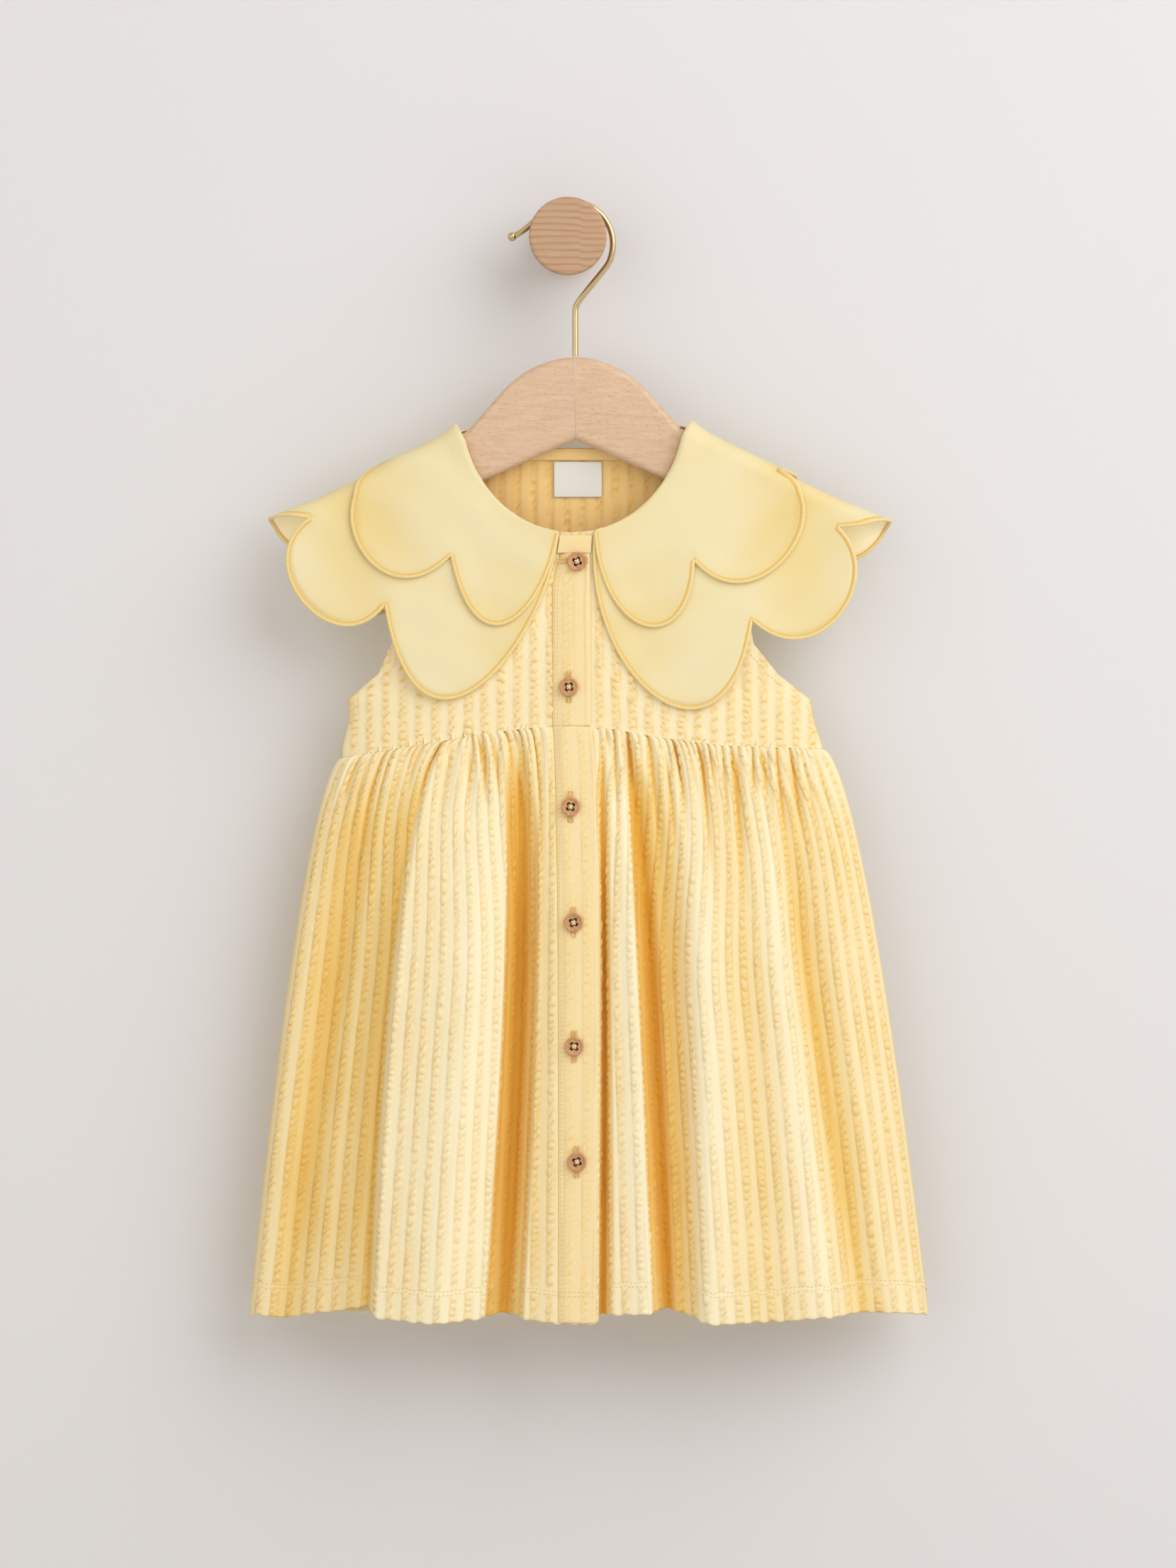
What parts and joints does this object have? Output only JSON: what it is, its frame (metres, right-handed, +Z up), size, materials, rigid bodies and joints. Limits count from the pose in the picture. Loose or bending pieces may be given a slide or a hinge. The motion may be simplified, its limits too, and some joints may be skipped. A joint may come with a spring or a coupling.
{
  "type": "sundress on a hanger and wall peg",
  "caption": "Small child's sleeveless button-front dress with a two-tier scalloped collar and gathered skirt, on a wooden hanger hooked over a round wall peg.",
  "frame": {"origin": "centre of the peg's flat back face, where it meets the wall", "axes": "+X to the viewer's right, +Y into the wall, +Z up"},
  "size_m": [0.3944, 0.0773, 0.651],
  "materials": {
    "seersucker": "matte puckered cotton",
    "collar_cloth": "smooth plain weave cotton",
    "label_tape": "bare woven tape",
    "button_wood": "satin",
    "beech": "satin",
    "peg_wood": "matte",
    "hook_wire": "satin champagne"
  },
  "bodies": {
    "root": {"bodice_front_left": "seersucker", "bodice_front_right": "seersucker", "bodice_back": "seersucker", "skirt_front_left": "seersucker", "skirt_front_right": "seersucker", "skirt_back": "seersucker", "placket_bodice": "seersucker", "placket_skirt": "seersucker", "neck_band": "seersucker", "neck_tape": "seersucker", "collar_upper_left": "collar_cloth", "collar_upper_right": "collar_cloth", "collar_lower_left": "collar_cloth", "collar_lower_right": "collar_cloth", "label": "label_tape", "button_1": "button_wood", "button_2": "button_wood", "button_3": "button_wood", "button_4": "button_wood", "button_5": "button_wood", "button_6": "button_wood", "hanger_arm_left": "beech", "hanger_arm_right": "beech", "hanger_hook": "hook_wire", "wall_peg": "peg_wood"}
  },
  "joints": []
}
